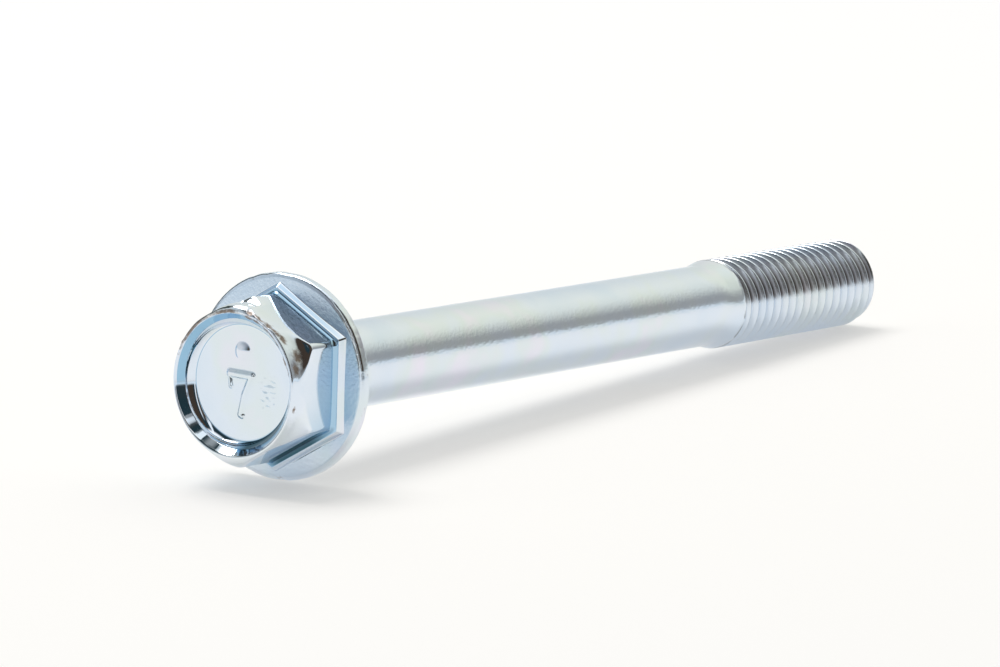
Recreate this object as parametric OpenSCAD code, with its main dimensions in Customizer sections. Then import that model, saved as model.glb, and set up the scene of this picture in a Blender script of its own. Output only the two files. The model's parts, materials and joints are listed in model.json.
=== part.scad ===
// Hexagon flange bolt with a dished head, lying on its flange and its tip.
// The bolt is made along its own axis, z = 0 on the bearing face, head below
// and thread above, and is laid down along +Y at the end.

/* [Thread] */
// Major diameter of the thread
thread_d = 7.9; // [7.5:0.05:8.4]
// Length of the thread with its run-out, measured from the tip
thread_len = 22.5; // [16:0.5:36]
// Length of the bevel at the tip, along the axis
tip_bevel_len = 0.8; // [0.4:0.1:1.6]
// Depth of the bevel at the tip, across the axis
tip_bevel_depth = 0.6; // [0.3:0.05:1]

/* [Shank] */
// Length from the bearing face to the tip
bolt_len = 85; // [60:1:120]
// Diameter of the plain shank
shank_d = 7.15; // [6.4:0.05:7.4]
// Length of the cone that widens the shank to the thread
shoulder_len = 1.8; // [1:0.1:4]
// Radius of the fillet under the head
neck_fillet = 0.5; // [0.2:0.05:0.9]

/* [Flange] */
// Diameter of the flange
flange_d = 16.8; // [15.8:0.1:19]
// Thickness of the flange at its rim
flange_t = 0.95; // [0.7:0.05:1.4]
// Rise of the flange's cone from the rim to the hexagon's pad
flange_rise = 0.15; // [0.1:0.05:0.6]
// Rounding of the rim on the hexagon's side
rim_round = 0.35; // [0.2:0.05:0.5]
// Rounding of the rim on the bearing side
bearing_round = 0.15; // [0.05:0.05:0.2]

/* [Hexagon] */
// Width across the flats
hex_af = 12; // [11.9:0.05:12.5]
// Rounding of the six upright edges
hex_edge_round = 0.7; // [0.2:0.05:1]
// Width across the flats of the top of the pad that the hexagon stands on
pad_af = 12.72; // [12.5:0.02:13.2]
// Amount by which each side of the pad slopes outwards down to the flange
pad_spread = 0.28; // [0.1:0.02:0.4]
// Height of the pad's step above the flange
pad_h = 0.46; // [0.2:0.02:0.8]
// Height from the bearing face to the top of the head's rim
head_h = 7.05; // [6.6:0.05:9]
// Height of the crown's bevel at the hexagon's edges, below the rim's top
crown_drop = 2.3; // [2:0.05:3]
// Height of the crown's bevel where it meets the rim's side, below the rim's top
crown_neck = 1; // [0.6:0.05:1.4]

/* [Dish] */
// Diameter of the round rim of the dish, along the middle of the rim
dish_rim_d = 11.72; // [11.4:0.02:11.74]
// Thickness of the rim
dish_rim_t = 0.24; // [0.14:0.02:0.24]
// Diameter at which the bevel inside the rim ends on the dish's wall
dish_bevel_d = 10.46; // [10:0.02:11]
// Slope of that bevel against the dish's floor, in degrees
dish_bevel_angle = 45; // [35:1:55]
// Diameter of the dish's flat floor, at the foot of its wall
dish_floor_d = 9.36; // [8:0.02:9.6]
// Depth of the dish from the rim's top
dish_depth = 1.39; // [1.2:0.01:2.4]
// Fillet between the dish's floor and its wall
dish_fillet = 0.3; // [0.1:0.05:0.5]

/* [Hidden] */
$fn = 96;
zinc = [0.80, 0.84, 0.86];
sides = 6;
side_angle = 360 / sides;
half_side = side_angle / 2;
// An edge of the hexagon points straight up when the bolt lies
hex_turn = 90;
// Overlap by which one form is sunk in the next one
bite = 0.4;
// Amount by which a rounding stands past the lines that it runs into
lip = 0.004;

thread_r = thread_d / 2;
shank_r = shank_d / 2;
tip_r = thread_r - tip_bevel_depth;
tip_bevel_z = bolt_len - tip_bevel_len;
thread_start_z = bolt_len - thread_len;
shank_end_z = thread_start_z - shoulder_len;

flange_r = flange_d / 2;
rim_r = flange_r - rim_round;
rim_z = rim_round - flange_t;
pad_top_r = pad_af / 2;
pad_foot_r = pad_top_r + pad_spread;
cone_angle = atan2(flange_rise, flange_r - pad_foot_r);
cone_edge_r = rim_r + (rim_round - lip) * sin(cone_angle);
cone_edge_z = rim_z - (rim_round - lip) * cos(cone_angle);
cone_apex_z = cone_edge_z - cone_edge_r * tan(cone_angle);
pad_foot_z = -(flange_t + flange_rise);
pad_z = pad_foot_z - pad_h;

// The hexagon's edge before it is rounded, which the crown's bevel passes
edge_r = hex_af / 2 / cos(half_side);
edge_centre_r = (hex_af / 2 - hex_edge_round) / cos(half_side);
dish_rim_r = dish_rim_d / 2;
dish_rim_tube = dish_rim_t / 2;
dish_rim_z = dish_rim_tube - head_h;
dish_rim_side_r = dish_rim_r + dish_rim_tube - lip;
crown_top_z = crown_neck - head_h;
crown_foot_z = crown_drop - head_h;
// The bevel is drawn on past the edge, so that it cuts right through it
crown_slope = (crown_foot_z - crown_top_z) / (edge_r - dish_rim_side_r);
crown_reach_r = edge_r + bite;
crown_reach_z = crown_top_z + crown_slope * (crown_reach_r - dish_rim_side_r);

dish_r = dish_floor_d / 2;
dish_z = dish_depth - head_h;
bevel_top_r = dish_rim_r - (dish_rim_tube - lip) * sin(dish_bevel_angle);
bevel_top_z = dish_rim_z - (dish_rim_tube - lip) * cos(dish_bevel_angle);
wall_top_r = dish_bevel_d / 2;
wall_top_z = bevel_top_z + (bevel_top_r - wall_top_r) * tan(dish_bevel_angle);
wall_angle = atan2(dish_z - wall_top_z, wall_top_r - dish_r);
fillet_r = dish_r - dish_fillet * tan(wall_angle / 2);
fillet_z = dish_z - dish_fillet;
fillet_depth = dish_fillet + bite;

// The lean at which the flange's bearing edge and the tip bevel's edge both touch the floor
lean_rise = flange_r - bearing_round - thread_r;
lean_run = tip_bevel_z + bearing_round;
lean = atan2(lean_rise, lean_run) + asin(bearing_round / norm([lean_rise, lean_run]));
axis_h = (flange_r - bearing_round) * cos(lean) - bearing_round * sin(lean) + bearing_round;
back_y = bolt_len * cos(lean) + tip_r * sin(lean);
front_y = dish_rim_z * cos(lean) - dish_rim_r * sin(lean) - dish_rim_tube;

// Half section of the flange: flat bearing face, rounded rim and shallow cone
module flange_section() {
    polygon([
        [0, 0],
        [flange_r - bearing_round, 0],
        [flange_r, -bearing_round],
        [flange_r, rim_z],
        [cone_edge_r, cone_edge_z],
        [0, cone_apex_z]
    ]);
    translate([flange_r - bearing_round, -bearing_round]) circle(bearing_round);
    translate([rim_r, rim_z]) circle(rim_round);
}

// Half section of the shank with its fillet, its shoulder and the thread's bevelled tip
module shaft_section() {
    polygon([
        [0, -bite],
        [shank_r, -bite],
        [shank_r, shank_end_z],
        [thread_r, thread_start_z],
        [thread_r, tip_bevel_z],
        [tip_r, bolt_len],
        [0, bolt_len]
    ]);
    difference() {
        translate([shank_r - bite, -bite]) square([neck_fillet + bite, neck_fillet + bite]);
        translate([shank_r + neck_fillet, neck_fillet]) circle(neck_fillet + lip);
    }
}

// Half section of the crown: bevelled edges, a round rim and the dish with its bevel and wall
module crown_section() {
    polygon([
        [0, pad_z + bite],
        [crown_reach_r, pad_z + bite],
        [crown_reach_r, crown_reach_z],
        [dish_rim_side_r, crown_top_z],
        [dish_rim_side_r, dish_rim_z],
        [dish_rim_r, dish_rim_z],
        [bevel_top_r, bevel_top_z],
        [wall_top_r, wall_top_z],
        [dish_r, dish_z],
        [0, dish_z]
    ]);
    translate([dish_rim_r, dish_rim_z]) circle(dish_rim_tube);
    difference() {
        polygon([
            [dish_r + bite, dish_z + bite],
            [fillet_r, dish_z + bite],
            [fillet_r, fillet_z],
            [fillet_r + fillet_depth * sin(wall_angle), fillet_z + fillet_depth * cos(wall_angle)]
        ]);
        translate([fillet_r, fillet_z]) circle(dish_fillet + lip);
    }
}

// Hexagon with rounded corners
module rounded_hexagon() {
    corners = [for (i = [0:sides - 1]) hex_turn + i * side_angle];
    polygon([
        for (a = corners, turn = [-half_side, half_side])
            edge_centre_r * [cos(a), sin(a)] + hex_edge_round * [cos(a + turn), sin(a + turn)]
    ]);
    for (a = corners)
        translate(edge_centre_r * [cos(a), sin(a)]) circle(hex_edge_round + lip);
}

// Forged hexagon, turned off by the crown and hollowed by the dish
module hexagon() {
    intersection() {
        translate([0, 0, -head_h]) linear_extrude(head_h + pad_z + bite) rounded_hexagon();
        rotate_extrude() crown_section();
    }
}

// Section of the pad across two of its sides: a flat top, sloping sides and a foot in the flange
module pad_section() {
    polygon([
        [-pad_foot_r, -flange_t / 2],
        [pad_foot_r, -flange_t / 2],
        [pad_foot_r, pad_foot_z],
        [pad_top_r, pad_z],
        [-pad_top_r, pad_z],
        [-pad_foot_r, pad_foot_z]
    ]);
}

// Hexagonal pad between the flange and the hexagon, where three such sections cross
module pad() {
    intersection_for(i = [0:sides / 2 - 1])
        rotate([0, 0, hex_turn + half_side + i * side_angle])
            rotate([90, 0, 0])
                linear_extrude(4 * pad_foot_r, center = true) pad_section();
}

// The bolt, one forged piece with a rolled thread drawn at its major diameter
module flange_bolt() {
    color(zinc)
        translate([0, -(back_y + front_y) / 2, axis_h])
            rotate([-90 - lean, 0, 0])
                union() {
                    rotate_extrude() flange_section();
                    rotate_extrude() shaft_section();
                    pad();
                    hexagon();
                }
}

flange_bolt();
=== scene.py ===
import json
import math

import bmesh
import bpy
import numpy as np
from mathutils import Matrix, Vector, noise


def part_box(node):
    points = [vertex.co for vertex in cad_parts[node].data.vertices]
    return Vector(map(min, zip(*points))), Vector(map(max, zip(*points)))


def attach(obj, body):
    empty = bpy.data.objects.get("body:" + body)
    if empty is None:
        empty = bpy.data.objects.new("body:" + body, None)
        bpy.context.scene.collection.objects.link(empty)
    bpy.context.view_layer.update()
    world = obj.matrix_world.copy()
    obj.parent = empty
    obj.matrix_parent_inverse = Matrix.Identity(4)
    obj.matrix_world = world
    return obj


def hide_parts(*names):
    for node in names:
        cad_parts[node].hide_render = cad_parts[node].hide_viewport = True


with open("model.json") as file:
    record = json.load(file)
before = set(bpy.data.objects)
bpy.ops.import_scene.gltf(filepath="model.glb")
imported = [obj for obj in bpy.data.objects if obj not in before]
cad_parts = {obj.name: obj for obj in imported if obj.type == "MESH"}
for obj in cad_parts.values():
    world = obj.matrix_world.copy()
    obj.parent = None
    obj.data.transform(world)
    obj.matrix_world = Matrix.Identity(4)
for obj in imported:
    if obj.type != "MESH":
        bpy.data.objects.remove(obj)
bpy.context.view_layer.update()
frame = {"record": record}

# Table top
# A sheet of matt white paper, laid flat under the bolt and running on past the picture.
# It carries the soft shadow, and the bolt's plating mirrors it.


def linear(colour):
    """An sRGB hex colour as linear RGBA."""
    channels = [int(colour[i:i + 2], 16) / 255 for i in (1, 3, 5)]
    return [c / 12.92 if c <= 0.04045 else ((c + 0.055) / 1.055) ** 2.4 for c in channels] + [1.0]


def add_node(tree, kind, inputs=None, stops=None, **settings):
    """Adds a node with its settings and ramp, and gives each input a value or a link from a socket."""
    node = tree.nodes.new(kind)
    for name, value in settings.items():
        setattr(node, name, value)
    for place, value in (inputs or {}).items():
        if isinstance(value, bpy.types.NodeSocket):
            tree.links.new(value, node.inputs[place])
        else:
            node.inputs[place].default_value = value
    for i, (position, colour) in enumerate(stops or []):
        ramp = node.color_ramp.elements
        stop = ramp[i] if i < 2 else ramp.new(position)
        stop.position, stop.color = position, linear(colour)
    return node


paper_half = 3.0
paper_mesh = bpy.data.meshes.new("paper")
paper_mesh.from_pydata(
    [(x * paper_half, y * paper_half, 0) for x, y in ((-1, -1), (1, -1), (1, 1), (-1, 1))],
    [], [(0, 1, 2, 3)])
paper = bpy.data.objects.new("paper", paper_mesh)
bpy.context.collection.objects.link(paper)

# Matt white paper: no gloss, a little warm where it is in shade. It is lit up to plain white
# further from the bolt, so that its far edge doesn't show.
matt_paper = bpy.data.materials.new("matt_white_paper")
matt_paper.use_nodes = True
tree = matt_paper.node_tree
tree.nodes.clear()
matt = add_node(tree, "ShaderNodeBsdfDiffuse", {"Color": linear("#FDF9F4")})
rays = add_node(tree, "ShaderNodeLightPath").outputs
spot = add_node(tree, "ShaderNodeTexCoord").outputs["Object"]
away = add_node(tree, "ShaderNodeVectorMath", {0: spot}, operation="LENGTH").outputs["Value"]
seen = add_node(
    tree, "ShaderNodeMapRange",
    {"Value": away, "From Min": 0.05, "From Max": 0.45, "To Min": 0.45}).outputs[0]
mirrored = add_node(
    tree, "ShaderNodeMath", {0: rays["Is Glossy Ray"], 1: 0.52}, operation="MULTIPLY").outputs[0]
white_part = add_node(
    tree, "ShaderNodeMath", {0: rays["Is Camera Ray"], 1: seen, 2: mirrored},
    operation="MULTIPLY_ADD").outputs[0]
white = add_node(tree, "ShaderNodeEmission", {"Color": linear("#FFFFFF"), "Strength": 1.0})
sheet = add_node(
    tree, "ShaderNodeMixShader", {0: white_part, 1: matt.outputs["BSDF"], 2: white.outputs[0]})
add_node(tree, "ShaderNodeOutputMaterial", {"Surface": sheet.outputs[0]})
paper_mesh.materials.append(matt_paper)

# Bolt
# One piece of steel, cold forged from wire: dished hexagon head, pad and flange are struck in
# one go, the slim shank is drawn down, and the thread is rolled on. Bright zinc all over.
# Lengths are in millimetres along the bolt's own axis, from the bearing face.
MM = 0.001
mounts = {mount["name"]: mount for mount in frame["record"]["mounts"]}
axis = Vector(mounts["seat"]["axis"]).normalized()
bearing_centre = Vector((0, *mounts["seat"]["pos_m"][1:]))
across = Vector((1, 0, 0))
down = axis.cross(across)
turned = Matrix((across, down, axis)).transposed().to_4x4()
lay = Matrix.Translation(bearing_centre) @ turned @ Matrix.Scale(MM, 4)

points, faces = [], []
# Finish of the plating at each point, from 0 up: dull, uneven, worn, painted shade on the thread's upper
# side, thick film and, past 1, painted deep teal shade
finish = {"satin": [], "peel": [], "worn": [], "groove": [], "film": []}


def add_ring(turns, reach, rise, **marks):
    """Adds a ring of points round the axis, rise towards the head, and returns it."""
    count = len(turns)
    first = len(points)
    reach = np.broadcast_to(reach, count)
    rise = np.broadcast_to(rise, count)
    for turn, r, h in zip(turns, reach, rise):
        points.append((r * math.cos(turn), r * math.sin(turn), -h))
    for name, values in finish.items():
        values.extend(np.broadcast_to(marks.get(name, 0), count))
    return turns, range(first, first + count)


def join_rings(first, second):
    """Fills the band between two rings, with quads where their points pair up; returns the second."""
    (turns_a, a), (turns_b, b) = first, second
    if len(a) == len(b):
        for i in range(len(a)):
            k = (i + 1) % len(a)
            faces.append((a[i], a[k], b[k], b[i]))
        return second
    ends_a = [*turns_a[1:], turns_a[0] + math.tau, math.inf]
    ends_b = [*turns_b[1:], turns_b[0] + math.tau, math.inf]
    i = j = 0
    while i < len(a) or j < len(b):
        if ends_a[i] <= ends_b[j]:
            faces.append((a[i], a[(i + 1) % len(a)], b[j % len(b)]))
            i += 1
        else:
            faces.append((a[i % len(a)], b[(j + 1) % len(b)], b[j]))
            j += 1
    return second


def ripple(x, y, z, size):
    """Smooth noise from -1 to 1 with bumps of about that size."""
    return noise.noise(Vector((x, y, z)) / size)


def smooth_step(low, high, value):
    """Goes smoothly from 0 at low to 1 at high."""
    t = np.clip((value - low) / (high - low), 0, 1)
    return t * t * (3 - 2 * t)


# Dish floor
# The flat bottom of the dish, struck by the punch's face. A round dot and a plain numeral for
# the strength class stand up from it, and the steel is a little rough on their right.
dish_rise = 5.66
floor_reach, floor_film = 4.5, 0.12
floor_wave, floor_wave_rise = 2.2, 0.004
dot_centre, dot_reach, dot_rise = (-0.09, -2.51), 0.78, 0.19
mark_rise = 0.18
# Strokes of the numeral: start, end, half the width of the top, width of the sloping side
mark_strokes = [
    ((-1.27, -0.67), (0.88, -0.59), 0.08, 0.34),
    ((-1.33, -0.65), (-1.15, 0.4), 0.03, 0.2),
    ((0.83, -0.51), (0.19, 1.0), 0.08, 0.28),
    ((0.19, 1.0), (-0.13, 2.55), 0.08, 0.28),
    ((-0.13, 2.55), (0.02, 2.66), 0.06, 0.24),
]
scuff_centre, scuff_half, scuff_rise = (2.6, 0.5), (1.0, 1.7), 0.034
scuff_grain, scuff_squash = 0.45, 1.6


def mark_height(x, y):
    """Height of the marks above the dish floor."""
    height = np.zeros_like(x)
    for (x0, y0), (x1, y1), half, slope in mark_strokes:
        run = np.array((x1 - x0, y1 - y0))
        along = np.clip(((x - x0) * run[0] + (y - y0) * run[1]) / (run @ run), 0, 1)
        gap = np.hypot(x - x0 - along * run[0], y - y0 - along * run[1])
        height = np.maximum(height, mark_rise * (1 - smooth_step(half, half + slope, gap)))
    dot_gap = np.hypot(x - dot_centre[0], y - dot_centre[1]) / dot_reach
    return height + dot_rise * np.clip(1 - dot_gap ** 2, 0, None)


def floor_ring(turns, reach):
    """Adds a ring of the dish floor with its marks and scuffs."""
    x, y = reach * np.cos(turns), reach * np.sin(turns)
    scuffed = np.exp(-((x - scuff_centre[0]) / scuff_half[0]) ** 2
                     - ((y - scuff_centre[1]) / scuff_half[1]) ** 2)
    scuff = np.array([ripple(u, v * scuff_squash, 0, scuff_grain) for u, v in zip(x, y)])
    wave = np.array([ripple(u, v, 5, floor_wave) for u, v in zip(x, y)])
    rise = dish_rise + mark_height(x, y) + scuff_rise * scuffed * scuff + floor_wave_rise * wave
    return add_ring(turns, reach, rise, film=floor_film)


# Every ring starts at the angle of the hexagon's upper right edge
start = -math.pi / 6
inner_count, inner_step, inner_reach = 90, 0.08, 1.0
outer_count, outer_step = 300, 0.06
inner_turns = start + np.arange(inner_count) * math.tau / inner_count
outer_turns = start + np.arange(outer_count) * math.tau / outer_count
dish_centre = add_ring(inner_turns[:1], 0, dish_rise)[1][0]
ring = floor_ring(inner_turns, inner_step)
for i in range(inner_count):
    faces.append((dish_centre, ring[1][i], ring[1][(i + 1) % inner_count]))
for reach in np.arange(2 * inner_step, inner_reach, inner_step):
    ring = join_rings(ring, floor_ring(inner_turns, reach))
for reach in np.arange(inner_reach + 0.05, floor_reach + 0.01, outer_step):
    ring = join_rings(ring, floor_ring(outer_turns, reach))

# Head
# The forged hexagon: a rounded rim runs round the dish, and a crown slopes from the rim to the
# flats. The steel filled the die well at the lowest edge and not quite at the two upper ones,
# where the crown is hollow and rough.
SIXTH = math.tau / 6
hex_flat, hex_round = 6.0, 0.7
wall_foot, wall_bend, wall_top = (4.68, 5.67), (5.02, 5.94), (5.23, 6.42)
rim_side, rim_side_rise, rim_reach, rim_top = 5.68, 6.92, 5.86, 7.05
pad_flat, pad_foot_flat, pad_round, pad_rise, pad_edge = 6.36, 6.64, 0.14, 1.56, 0.05
foot_wide, foot_high = 0.3, 0.55
flat_steps, corner_steps = 32, 7


def hexagon_reach(turns, flat, edge_round):
    """Distance from the axis to the side of a hexagon with rounded edges."""
    off = np.abs((turns + SIXTH / 2) % SIXTH - SIXTH / 2)
    centre = (flat - edge_round) / math.cos(SIXTH / 2)
    gap = SIXTH / 2 - off
    half_chord = np.sqrt(np.clip(edge_round ** 2 - (centre * np.sin(gap)) ** 2, 0, None))
    tangent = math.atan2((flat - edge_round) * math.tan(SIXTH / 2), flat)
    return np.where(off <= tangent, flat / np.cos(off), centre * np.cos(gap) + half_chord)


edge_centre = (hex_flat - hex_round) / math.cos(SIXTH / 2)
edge_arc = np.linspace(0, SIXTH / 2, corner_steps + 1)
edge_turns = np.arctan2(edge_centre * math.sin(SIXTH / 2) + hex_round * np.sin(edge_arc),
                        edge_centre * math.cos(SIXTH / 2) + hex_round * np.cos(edge_arc))
flat_turns = np.linspace(-edge_turns[0], edge_turns[0], flat_steps + 1)
sector = np.concatenate([-edge_turns[::-1], flat_turns[1:-1], edge_turns[:-1]])
head_turns = np.concatenate([sector + k * SIXTH for k in range(6)])
# Clockwise from the right, as seen from the head
degrees = np.degrees(head_turns)
side_reach = hexagon_reach(head_turns, hex_flat, hex_round)

# How far the crown reaches from the axis at these rises, at each of the six edges
crown_rises = [4.2, 4.5, 4.8, 5.1, 5.4, 5.7, 6.0, 6.3, 6.6, 6.8, 6.9, 6.97, 7.03, 7.05]
plain_crown = [7.2, 7.05, 6.88, 6.68, 6.47, 6.25, 6.06, 6.02, 6.0, 5.98, 5.97, 5.95, 5.92, 5.86]
rough_crown = [7.2, 6.95, 6.65, 6.36, 6.2, 6.1, 6.04, 6.02, 6.0, 5.98, 5.97, 5.95, 5.92, 5.86]
hollow_crown = [7.1, 6.85, 6.5, 6.26, 6.24, 6.34, 6.42, 6.42, 6.34, 6.22, 6.12, 6.03, 5.94, 5.86]
full_crown = [7.1, 7.05, 7.0, 6.97, 6.92, 6.86, 6.78, 6.66, 6.5, 6.34, 6.22, 6.1, 5.98, 5.86]
# From the edge at the upper right on, clockwise as seen from the head
crowns = np.array([rough_crown, plain_crown, full_crown, plain_crown, plain_crown, hollow_crown])

edge_place = (head_turns - start) / SIXTH
edge_number = edge_place.astype(int) % 6
edge_blend = ((1 - np.cos(math.pi * (edge_place % 1))) / 2)[:, None]
crown_table = crowns[edge_number] * (1 - edge_blend) + crowns[(edge_number + 1) % 6] * edge_blend


def soft_min(a, b, soft=0.12):
    """The lesser of two lengths, rounded where they meet."""
    blend = np.clip(soft - np.abs(a - b), 0, None) / soft
    return np.minimum(a, b) - blend ** 2 * soft / 4


def crowned_reach(rises):
    """Distance from the axis to the crown or, below it, to the hexagon's side."""
    crown = np.array([np.interp(h, crown_rises, row) for h, row in zip(rises, crown_table)])
    return soft_min(side_reach, crown)


# Rough, under-filled places: angle in degrees, rise, half width, half height
rough_spots = [
    (-26, 5.8, 7, 0.55), (-17, 6.35, 6, 0.4), (-42, 6.5, 5, 0.35), (-50, 6.75, 7, 0.2),
    (-57, 6.8, 5, 0.25), (-67, 6.88, 7, 0.16), (-76, 6.9, 5, 0.2), (14, 6.6, 3, 0.2),
    (224, 7.03, 24, 0.06), (262, 7.03, 14, 0.06)]
swell_size, swell_depth = 1.7, 0.006
pit_size, pit_depth, pit_sink = 0.4, 0.11, 0.4
scores_per_radian = 30


def head_ring(reach, rise, film=0.0, score=0.0):
    """Adds a ring of the head, with a slight swell, tool scores and pits in the rough spots."""
    reach = np.broadcast_to(reach, len(head_turns))
    rise = np.broadcast_to(rise, len(head_turns))
    worn = np.zeros(len(head_turns))
    for turn, height, wide, high in rough_spots:
        off = (degrees - turn + 180) % 360 - 180
        worn = np.maximum(worn, np.exp(-(off / wide) ** 2 - ((rise - height) / high) ** 2))
    x, y = reach * np.cos(head_turns), reach * np.sin(head_turns)
    swell = np.array([ripple(*place, swell_size) for place in zip(x, y, rise)])
    pits = np.array([ripple(*place, pit_size) for place in zip(x, y, rise)])
    scores = np.array([ripple(turn * scores_per_radian, 0, 0, 1.0) for turn in head_turns])
    pushed = reach + swell_depth * swell + score * scores + pit_depth * worn * (pits - pit_sink)
    return add_ring(head_turns, pushed, rise, worn=worn, film=film)


# Painted shade: low on the dish wall at the lower right, and on the inner bevel above it, deep teal
lower_right_shade = smooth_step(8, 28, degrees) * (1 - smooth_step(78, 98, degrees))
# The film is bluer on the bevel from its left to its top
bevel_film = 0.1 + 0.9 * smooth_step(172, 178, degrees) * (1 - smooth_step(285, 315, degrees))
# Rings of the dish wall, the bevel and the rim: reach, rise, film and painted shade, depth of the tool
# scores
# Painted shade: the ring at the foot of the dish wall is tinted part way to deep teal, in the crease
rows = [(wall_foot[0] - 0.04, dish_rise, 0.08, 0), (*wall_foot, 1.3, 0)]
for share in np.linspace(0.06, 0.97, 13):
    weights = (1 - share) ** 2, 2 * share * (1 - share), share ** 2
    rows.append((*np.dot(weights, (wall_foot, wall_bend, wall_top)), 2 * lower_right_shade, 0.002))
for share in (0, 0.05, 0.2, 0.4, 0.6, 0.8, 0.95):
    rows.append((wall_top[0] + share * (rim_side - wall_top[0]),
                 wall_top[1] + share * (rim_side_rise - wall_top[1]),
                 bevel_film + 1.8 * (1 - share) * lower_right_shade, 0.014))
for bend in np.linspace(0, 1, 8)[:-1]:
    rows.append((rim_side + bend * (rim_reach - rim_side),
                 rim_side_rise + (rim_top - rim_side_rise) * math.sin(bend * math.pi / 2), 0, 0.006))
for reach, rise, film, score in rows:
    ring = join_rings(ring, head_ring(reach, rise, film, score))

# The crown ends where it meets the flats, in an arc on each of them
dense_rises = np.linspace(rim_top, crown_rises[0], 400)
arc_rise = np.empty(len(head_turns))
for i, row in enumerate(crown_table):
    past = np.interp(dense_rises, crown_rises, row) >= side_reach[i]
    arc_rise[i] = dense_rises[np.argmax(past)]
# Rings of the crown, the flats and their foot: reach, rise, film and painted shade
rows = []
for share in (0, 0.02, 0.05, 0.09, 0.14, 0.2, 0.28, 0.38, 0.5, 0.62, 0.74, 0.85, 0.93, 0.98, 1):
    rise = rim_top + share * (arc_rise - rim_top)
    rows.append((crowned_reach(rise), rise, 0))
arc_drops = (0.05, 0.1, 0.17, 0.26, 0.4)
for drop in arc_drops:
    rows.append((crowned_reach(arc_rise - drop), arc_rise - drop, 0))

# The film is bluer on the lower flats, and towards their foot
flat_top, flat_foot = arc_rise - arc_drops[-1], pad_rise + foot_high
flat_film = 0.05 + 0.7 * smooth_step(0, 0.9, np.sin(head_turns))
# Painted shade: deep teal low on the flat at the lower right and on its foot, for the shadowed table it
# mirrors
lower_right_flat_shade = smooth_step(0.5, 0.8, np.sin(head_turns)) * smooth_step(-0.1, 0.15, np.cos(head_turns))
for share in (0.12, 0.28, 0.45, 0.62, 0.78, 0.9, 1):
    rise = flat_top + share * (flat_foot - flat_top)
    rows.append((crowned_reach(rise), rise, flat_film + 0.35 * share ** 2 + 1.1 * lower_right_flat_shade * share))
for bend in np.linspace(0, math.pi / 2, 6)[1:]:
    rows.append((side_reach + foot_wide * (1 - math.cos(bend)), flat_foot - foot_high * math.sin(bend),
                 0.85 + 1.05 * lower_right_flat_shade))
for reach, rise, film in rows:
    ring = join_rings(ring, head_ring(reach, rise, film))

# Pad and flange
# The sharp hexagonal step that the head's lower die leaves, and the round flange that is
# upset with it. The rim is rounded by the flow of the steel and carries nicks from handling.
low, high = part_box("flange_bolt")
flange_reach = (high.x - low.x) / 2 / MM
flange_thick, flange_rise, rim_round, bearing_round = 0.95, 0.15, 0.35, 0.15
rim_middle = 0.4
pad_reach = hexagon_reach(head_turns, pad_flat, pad_round)
pad_foot_reach = hexagon_reach(head_turns, pad_foot_flat, pad_round)
cone_top = flange_thick + flange_rise
scar_path, scar_size, scar_least, scar_depth = 9, 0.9, 0.18, 0.1
dent_turn, dent_half, dent_grain, dent_depth = 343, 13, 0.4, 0.05


def cone_rise(reach):
    """Height of the flange's cone at that distance from the axis."""
    inward = (flange_reach - reach) / (flange_reach - pad_foot_flat)
    return flange_thick + flange_rise * np.clip(inward, 0, 1.2)


def flange_ring(reach, rise, satin=0.75, film=0.2, peel=0.8, nick=0.0):
    """Adds a ring of the pad or the flange, nicked and dented where nick is 1."""
    x, y = scar_path * np.cos(head_turns), scar_path * np.sin(head_turns)
    scar = np.array([max(0.0, ripple(u, v, 3, scar_size) - scar_least) for u, v in zip(x, y)])
    off = (degrees - dent_turn + 180) % 360 - 180
    dent = np.exp(-(off / dent_half) ** 2)
    pits = np.array([ripple(u, v, 8, dent_grain) for u, v in zip(x, y)])
    pushed = reach - nick * (scar_depth * scar + dent_depth * dent * (1 + pits))
    worn = nick * np.clip(0.3 * dent + 0.7 * scar, 0, 1)
    return add_ring(head_turns, pushed, rise, satin=satin, worn=worn, film=film, peel=peel)


# The film is bluer on the pad's upper sides, and on the right of the flange's cone
pad_film = 0.1 + 0.5 * smooth_step(0.3, 0.8, -np.sin(head_turns))
cone_film = 0.2 + 0.35 * smooth_step(0.5, 0.9, np.cos(head_turns))
# Rings of the pad, from its top to its foot on the flange: reach, rise, film
rows = [(pad_reach - pad_edge, pad_rise, 0.6)]
for bend in np.linspace(0, math.pi / 2, 4)[1:]:
    rows.append((pad_reach - pad_edge * (1 - math.sin(bend)),
                 pad_rise - pad_edge * (1 - math.cos(bend)) / 2, 0.1))
for share, film in ((0.15, 0.1), (0.25, pad_film), (0.75, pad_film), (0.85, 0.1)):
    rows.append((pad_reach + share * (pad_foot_reach - pad_reach),
                 pad_rise + share * (cone_top - pad_rise), film))
rows.append((pad_foot_reach, np.minimum(cone_top, cone_rise(pad_foot_reach) + 0.04), 0.1))
rows.append((pad_foot_reach + 0.04, cone_rise(pad_foot_reach + 0.04), 0.2))
for reach, rise, film in rows:
    ring = join_rings(ring, flange_ring(reach, rise, satin=0.2, film=film, peel=0))

cone_start = pad_foot_reach + 0.1
cone_end = flange_reach - rim_round
for share in (0, 0.15, 0.35, 0.55, 0.75, 0.9, 1):
    reach = cone_start + share * (cone_end - cone_start)
    ring = join_rings(ring, flange_ring(reach, cone_rise(reach), film=cone_film))

# Rings of the flange's rim, down to the bearing face: reach, rise
rows = [(cone_end + rim_round * math.sin(bend), flange_thick - rim_round * (1 - math.cos(bend)))
        for bend in np.linspace(0, math.pi / 2, 8)[1:]]
rows.append((flange_reach, rim_middle))
rows += [(flange_reach - bearing_round * (1 - math.cos(bend)), bearing_round * (1 - math.sin(bend)))
         for bend in np.linspace(0, math.pi / 2, 5)]
for reach, rise in rows:
    ring = join_rings(ring, flange_ring(reach, rise, satin=0.4, film=0.1, peel=0.3, nick=1.0))
# The flat bearing face
for reach in (7.0, 5.5):
    ring = join_rings(ring, flange_ring(reach, 0))

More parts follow.
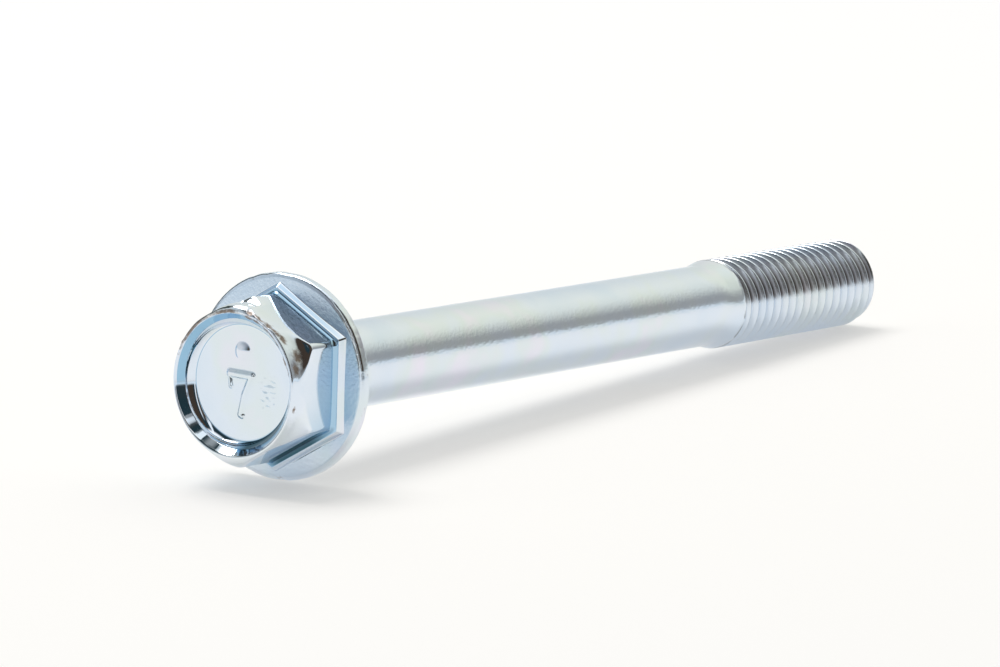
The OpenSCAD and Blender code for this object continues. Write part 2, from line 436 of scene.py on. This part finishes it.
# Shank
# Plain round steel, drawn down to the thread's pitch diameter. It is a shade less bright than
# the head and carries the faint waves of drawing.
shank_reach, neck_fillet = 3.575, 0.5
shoulder_start, thread_start = 60.7, 62.5
wave_path, wave_size, wave_stretch, wave_depth = 4, 2.4, 4, 0.012
shank_columns = 120
shank_turns = start + np.arange(shank_columns) * math.tau / shank_columns
# The film is a little bluer on the lower half
shank_film = 0.05 + 0.1 * smooth_step(0, 0.5, np.sin(shank_turns))
shank_finish = {"satin": 0.4, "film": shank_film, "peel": 0.45}

ring = join_rings(ring, add_ring(shank_turns, shank_reach + neck_fillet, 0, **shank_finish))
for bend in np.linspace(0, math.pi / 2, 7)[1:]:
    reach = shank_reach + neck_fillet * (1 - math.sin(bend))
    rise = -neck_fillet * (1 - math.cos(bend))
    ring = join_rings(ring, add_ring(shank_turns, reach, rise, **shank_finish))
x, y = wave_path * np.cos(shank_turns), wave_path * np.sin(shank_turns)
for run in np.linspace(1, shoulder_start, 60):
    wave = np.array([ripple(u, v, run / wave_stretch, wave_size) for u, v in zip(x, y)])
    ring = join_rings(ring, add_ring(shank_turns, shank_reach + wave_depth * wave, -run, **shank_finish))

# Thread
# A right-hand coarse thread, rolled between dies: the crests stand above the shank and the
# grooves lie below it. The first turn runs out on a short cone, and the tip is bevelled.
thread_reach = mounts["thread"]["dims"]["r_mm"]
thread_middle = (Vector(mounts["thread"]["pos_m"]) - bearing_centre).dot(axis) / MM
bevel_start = thread_middle + mounts["thread"]["dims"]["length_mm"] / 2
bevel_length, bevel_depth = 0.8, 0.6
tip = bevel_start + bevel_length
pitch, groove_depth, run_out = 1.25, 0.74, 0.35
# From the middle of a crest, 0, to the middle of a root, 1: end of the crest, start of the root
crest_part, root_part, root_round = 0.125, 0.75, 0.05
# Rings within one pitch, closer together at the root and the crest
turn_phases = [0, 0.06, 0.12, 0.2, 0.3, 0.4, 0.44, 0.5, 0.56, 0.6, 0.7, 0.8, 0.88, 0.94]

for share in np.linspace(0, 1, 6)[1:]:
    run = shoulder_start + share * (thread_start - shoulder_start)
    reach = shank_reach + share * (thread_reach - shank_reach)
    ring = join_rings(ring, add_ring(shank_turns, reach, -run, **shank_finish))


def groove_share(run, turn):
    """Depth of the groove there, from 0 on a crest to 1 at a root."""
    phase = ((run - thread_start) / pitch - (turn - start) / math.tau) % 1
    off = np.abs(phase - 0.5) * 2
    share = np.clip((off - crest_part) / (root_part - crest_part), 0, 1)
    share = share + root_round * smooth_step(0.7, 1, off) - root_round
    return np.clip(share, 0, 1) * smooth_step(thread_start, thread_start + run_out, run)


# Painted shade: on the upper side the grooves, and a little the crests, are dark brown and rougher;
# below they are left bright
upward = -np.sin(shank_turns)
shaded_upper_side = smooth_step(0.05, 0.2, upward) * (1 - 0.6 * smooth_step(0.6, 0.95, upward))
turn_count = math.ceil((tip - thread_start) / pitch) + 2
first_point = len(points)
levels = [turn + phase for turn in range(turn_count) for phase in turn_phases]
for level in levels:
    climb = pitch * (level - 1 + (shank_turns - start) / math.tau)
    run = np.clip(thread_start + climb, thread_start, tip)
    depth = groove_share(run, shank_turns)
    bevel = thread_reach - bevel_depth * np.clip((run - bevel_start) / bevel_length, 0, 1)
    add_ring(shank_turns, np.minimum(thread_reach - groove_depth * depth, bevel), -run,
             satin=0.5 + depth * (0.5 + 0.6 * shaded_upper_side), groove=np.clip(0.1 + 1.2 * depth, 0, 1) * shaded_upper_side,
             film=shank_film)
# The last column of a turn joins the first column of the next turn
per_turn = len(turn_phases)
for k in range(len(levels) - 1):
    for j in range(shank_columns):
        here = first_point + k * shank_columns + j
        above = here + shank_columns
        if j + 1 < shank_columns:
            faces.append((here, here + 1, above + 1, above))
        elif k + 1 + per_turn < len(levels):
            beside = first_point + (k + per_turn) * shank_columns
            faces.append((here, beside, beside + shank_columns, above))

tip_finish = {"satin": 0.3, "film": 0.1}
tip_depth = groove_share(np.full(shank_columns, tip), shank_turns)
tip_reach = np.minimum(thread_reach - groove_depth * tip_depth, thread_reach - bevel_depth)
ring = add_ring(shank_turns, tip_reach, -tip, **tip_finish)
for share in (0.9, 0.6, 0.3):
    ring = join_rings(ring, add_ring(shank_turns, share * tip_reach, -tip, **tip_finish))
tip_centre = add_ring(shank_turns[:1], 0, -tip, **tip_finish)[1][0]
for i in range(shank_columns):
    faces.append((ring[1][i], ring[1][(i + 1) % shank_columns], tip_centre))

# Skin
# The bolt's whole surface as one closed mesh, welded where its parts meet and laid down with
# its bearing face where the record has it.
weld_gap = 1e-5
bolt_mesh = bpy.data.meshes.new("flange_bolt_skin")
bolt_mesh.from_pydata(points, [], faces)
for name, values in finish.items():
    layer = bolt_mesh.attributes.new(name, "FLOAT", "POINT")
    layer.data.foreach_set("value", np.array(values, dtype=np.float32))
welder = bmesh.new()
welder.from_mesh(bolt_mesh)
bmesh.ops.remove_doubles(welder, verts=welder.verts, dist=weld_gap)
bmesh.ops.recalc_face_normals(welder, faces=welder.faces)
for face in welder.faces:
    face.smooth = True
welder.to_mesh(bolt_mesh)
welder.free()
bolt_mesh.transform(lay)
bolt = bpy.data.objects.new("flange_bolt_skin", bolt_mesh)
bpy.context.collection.objects.link(bolt)
true_normals = bolt.modifiers.new("flat faces stay flat", "WEIGHTED_NORMAL")
true_normals.weight = 80
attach(bolt, "root")
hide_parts("flange_bolt")

# Bright zinc plate with a clear blue passivation: a mirror on the struck head, satin on the
# drawn shank, cool silver with a faint drift to blue, green and pink. A thick film is blue, and the
# deep teal past it is painted shade. Rough spots are dull and brownish; the dark brown on the thread's
# upper side is painted shade.
zinc = bpy.data.materials.new("bright_zinc_plate_blue_passivated")
zinc.use_nodes = True
tree = zinc.node_tree
tree.nodes.clear()
spot = add_node(tree, "ShaderNodeTexCoord").outputs["Object"]
satin, peel, worn, groove, film = [
    add_node(tree, "ShaderNodeAttribute", attribute_name=name).outputs["Fac"] for name in finish]
drift = add_node(tree, "ShaderNodeTexNoise", {"Vector": spot, "Scale": 1 / (7 * MM), "Detail": 3})
silver = add_node(
    tree, "ShaderNodeValToRGB", {"Fac": drift.outputs["Fac"]},
    [(0.3, "#DAE6F4"), (0.5, "#E3EBF5"), (0.6, "#E3EBEE"), (0.72, "#ECE9F4")])
blue = add_node(
    tree, "ShaderNodeMix", {0: film, 6: silver.outputs["Color"], 7: linear("#98C0DC")},
    data_type="RGBA")
# Painted shade: a film value past 1 tints the plate towards deep teal
teal_shade_amount = add_node(tree, "ShaderNodeMapRange", {"Value": film, "From Min": 1, "From Max": 2})
teal_shade = add_node(
    tree, "ShaderNodeMix", {0: teal_shade_amount.outputs[0], 6: blue.outputs[2], 7: linear("#3C626E")},
    data_type="RGBA")
grit = add_node(tree, "ShaderNodeTexNoise", {"Vector": spot, "Scale": 1 / (0.25 * MM), "Detail": 4})
wear = add_node(tree, "ShaderNodeMath", {0: worn, 1: grit.outputs["Fac"]}, operation="ADD")
bare = add_node(
    tree, "ShaderNodeMapRange", {"Value": wear.outputs[0], "From Min": 0.78, "From Max": 1.3})
spotted = add_node(
    tree, "ShaderNodeMix", {0: bare.outputs[0], 6: teal_shade.outputs[2], 7: linear("#948880")},
    data_type="RGBA")
plate_colour = add_node(
    # Painted shade: the dark brown on the thread's upper side
    tree, "ShaderNodeMix", {0: groove, 6: spotted.outputs[2], 7: linear("#5A463C")},
    data_type="RGBA")
gloss = add_node(
    tree, "ShaderNodeMapRange", {"Value": satin, "From Max": 2, "To Min": 0.05, "To Max": 0.59})
rough = add_node(
    tree, "ShaderNodeMix", {0: bare.outputs[0], 2: gloss.outputs[0], 3: 0.45}, data_type="FLOAT")
grain = add_node(tree, "ShaderNodeTexNoise", {"Vector": spot, "Scale": 1 / (0.3 * MM), "Detail": 3})
height = add_node(tree, "ShaderNodeMath", {0: grain.outputs["Fac"], 1: peel}, operation="MULTIPLY")
bump = add_node(
    tree, "ShaderNodeBump", {"Height": height.outputs[0], "Distance": 0.05 * MM, "Strength": 0.7})
metal = add_node(
    tree, "ShaderNodeBsdfPrincipled",
    {"Base Color": plate_colour.outputs[2], "Metallic": 1, "Roughness": rough.outputs[0],
     "Normal": bump.outputs["Normal"]})
add_node(tree, "ShaderNodeOutputMaterial", {"Surface": metal.outputs["BSDF"]})
bolt_mesh.materials.append(zinc)

# Light
# A round soft box hangs over the table on the left. The room is dark in front of the head and on
# the right, with bright upright strips, has a dark door on the left, and is pale at the back and
# overhead. The bright metal mirrors all of it.
lamp_data = bpy.data.lights.new("overhead_soft_box", "AREA")
lamp_data.shape = "DISK"
lamp_data.size = 0.45
lamp_data.energy = 3.3
lamp = bpy.data.objects.new("overhead_soft_box", lamp_data)
lamp.location = (-0.3, 0.05, 0.7)
lamp.rotation_euler = (Vector((0, 0, 0)) - lamp.location).to_track_quat("-Z", "Y").to_euler()
bpy.context.collection.objects.link(lamp)

room = bpy.data.worlds.new("room")
bpy.context.scene.world = room
room.use_nodes = True
tree = room.node_tree
tree.nodes.clear()
way = add_node(tree, "ShaderNodeTexCoord").outputs["Generated"]
aims = add_node(tree, "ShaderNodeSeparateXYZ", {"Vector": way}).outputs
front = add_node(tree, "ShaderNodeMath", {0: aims["Y"], 1: -1.0}, operation="MULTIPLY").outputs[0]
bearing = add_node(tree, "ShaderNodeMath", {0: aims["X"], 1: front}, operation="ARCTAN2").outputs[0]
round_room = add_node(
    tree, "ShaderNodeMapRange",
    {"Value": bearing, "From Min": -math.pi, "From Max": math.pi}).outputs[0]

# Tones of the room by bearing in degrees, from the front of the head to the right
dark, brown, shade, door, lamp_white = "#22343A", "#40362E", "#4C433C", "#3C4442", "#F4F8FA"
strips = []
for left, right in ((13, 24), (46, 50)):
    strips += [(left - 1, shade), (left, lamp_white), (right, lamp_white), (right + 1, shade)]
left_side = [(-116, "#D4D8D6"), (-110, door), (-82, door), (-76, "#D4D8DA")]
right_side = [(52, dark), (57, dark), (60, brown), (104, brown)]
low_walls = [
    (-180, "#D4D8D6"), *left_side, (-38, "#D4D8DA"), (-20, "#B4BEC4"), (-6, "#7A868C"), (4, shade),
    *strips, *right_side, (118, "#9A9A98"), (160, "#9A9A98"), (180, "#D4D8D6")]
high_walls = [
    (-180, "#EAEADF"), *left_side, (-44, "#ACB6BC"), (-24, "#A0A6AC"), (-8, "#8E929A"),
    (4, "#766F6B"), (8, shade),
    *strips, *right_side, (118, "#C8CABF"), (150, "#E2E4D8"), (180, "#EAEADF")]
roof = [
    (-180, "#E8ECEA"), (-64, "#E8ECEE"), (-54, dark),
    (18, dark), (19, lamp_white), (33, lamp_white), (34, dark),
    (58, dark), (64, brown), (104, brown), (122, "#E0E4E2"), (180, "#E8ECEA")]


def rise_into(lower, upper, begins, full):
    """Colour of the room where the upper tones take over between two elevations in degrees."""
    reached = add_node(
        tree, "ShaderNodeMapRange",
        {"Value": aims["Z"], "From Min": math.sin(math.radians(begins)),
         "From Max": math.sin(math.radians(full))}).outputs[0]
    mix = add_node(tree, "ShaderNodeMix", {0: reached, 6: lower, 7: upper}, data_type="RGBA")
    return mix.outputs[2]


room_colour = linear("#DCE4E8")
for tones, begins, full in ((low_walls, 2, 4.5), (high_walls, 15, 30), (roof, 45, 58)):
    stops = [(0.5 + turn / 360, tone) for turn, tone in tones]
    band = add_node(tree, "ShaderNodeValToRGB", {"Fac": round_room}, stops)
    room_colour = rise_into(room_colour, band.outputs["Color"], begins, full)
room_colour = rise_into(room_colour, linear("#FFFFFF"), 72, 80)
glow = add_node(tree, "ShaderNodeBackground", {"Color": room_colour, "Strength": 1.15})
backdrop = add_node(tree, "ShaderNodeBackground", {"Color": linear("#FFFFFF"), "Strength": 1.0})
by_camera = add_node(tree, "ShaderNodeLightPath").outputs["Is Camera Ray"]
mixed = add_node(tree, "ShaderNodeMixShader", {0: by_camera, 1: glow.outputs[0], 2: backdrop.outputs[0]})
add_node(tree, "ShaderNodeOutputWorld", {"Surface": mixed.outputs[0]})

# Camera
# A long lens, low down and to the right of the head, held level.
camera_data = bpy.data.cameras.new("camera")
camera_data.sensor_width = 36
camera_data.lens = 216.2
camera = bpy.data.objects.new("camera", camera_data)
azimuth, elevation, distance = math.radians(34.898), math.radians(10.377), 0.516
aim = Vector((-0.00553, -0.00087, 0.00553))
outward = Vector((math.sin(azimuth) * math.cos(elevation), -math.cos(azimuth) * math.cos(elevation),
                  math.sin(elevation)))
camera.location = aim + distance * outward
camera.rotation_euler = (-outward).to_track_quat("-Z", "Y").to_euler()
bpy.context.collection.objects.link(camera)
bpy.context.scene.camera = camera
bpy.context.scene.view_settings.view_transform = "Standard"
